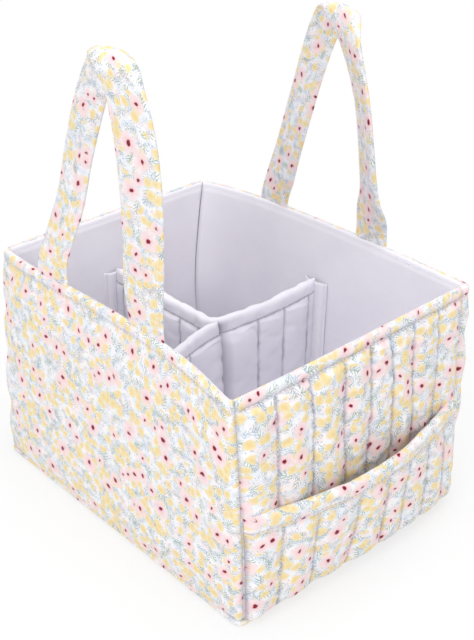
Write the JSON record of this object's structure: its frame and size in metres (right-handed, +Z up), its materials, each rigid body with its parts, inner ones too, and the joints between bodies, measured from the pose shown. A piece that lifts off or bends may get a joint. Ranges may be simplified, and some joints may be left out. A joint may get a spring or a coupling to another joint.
{
  "type": "diaper caddy",
  "caption": "Soft-sided open storage caddy with padded printed walls, a quilted pocket on each end, carrying straps and a lift-out padded divider.",
  "frame": {"origin": "middle of the underside of the caddy, on the plane that it stands on", "axes": "+Z up; +X along the caddy, towards the front end and its pocket; +Y across it, towards the right side"},
  "size_m": [0.3294, 0.2546, 0.3565],
  "materials": {
    "printed_cotton": "fine plain-woven cotton with a small printed floral",
    "quilted_cotton": "the same print, padded and sewn in upright channels",
    "strap_cotton": "the same print, stitched along both edges",
    "lining_cloth": "smooth lilac-grey cotton",
    "quilted_lining": "lilac-grey cotton, padded and sewn in upright channels",
    "stiffener_board": "matt foamed sheet",
    "wadding": "loose white wadding",
    "hook_tape": "pale woven hook tape",
    "loop_tape": "pale brushed loop tape"
  },
  "bodies": {
    "caddy": {"base_panel": "printed_cotton", "base_board": "stiffener_board", "lining_floor": "lining_cloth", "side_panel_left": "printed_cotton", "side_panel_right": "printed_cotton", "side_board_left": "stiffener_board", "side_board_right": "stiffener_board", "lining_side_left": "lining_cloth", "lining_side_right": "lining_cloth", "end_panel_front": "quilted_cotton", "end_panel_back": "quilted_cotton", "end_board_front": "stiffener_board", "end_board_back": "stiffener_board", "lining_end_front": "lining_cloth", "lining_end_back": "lining_cloth", "pocket_front": "quilted_cotton", "pocket_back": "quilted_cotton", "pocket_hem_front": "printed_cotton", "pocket_hem_back": "printed_cotton", "strap_tail_left_1": "strap_cotton", "strap_tail_left_2": "strap_cotton", "strap_tail_right_1": "strap_cotton", "strap_tail_right_2": "strap_cotton", "loop_tape_back": "loop_tape", "loop_tape_left": "loop_tape", "loop_tape_right": "loop_tape"},
    "handle_left": {"handle_left_sleeve": "strap_cotton", "handle_left_core": "wadding"},
    "handle_right": {"handle_right_sleeve": "strap_cotton", "handle_right_core": "wadding"},
    "divider": {"divider_long_panel": "quilted_lining", "divider_branch_panel": "quilted_lining", "divider_stem_board": "stiffener_board", "divider_cross_board": "stiffener_board", "divider_branch_board": "stiffener_board", "hook_tape_back": "hook_tape", "hook_tape_left": "hook_tape", "hook_tape_right": "hook_tape"}
  },
  "joints": [
    {"name": "handle_left_swing", "type": "hinge", "parent": "caddy", "child": "handle_left", "pos_m": [-0.009, -0.1066, 0.186], "axis": [1, 0, 0], "range_deg": [-25, 130]},
    {"name": "handle_right_swing", "type": "hinge", "parent": "caddy", "child": "handle_right", "pos_m": [-0.009, 0.1066, 0.186], "axis": [-1, 0, 0], "range_deg": [-25, 130]},
    {"name": "divider_lift", "type": "slide", "parent": "caddy", "child": "divider", "axis": [0, 0, 1], "range_m": [0, 0.09]}
  ]
}
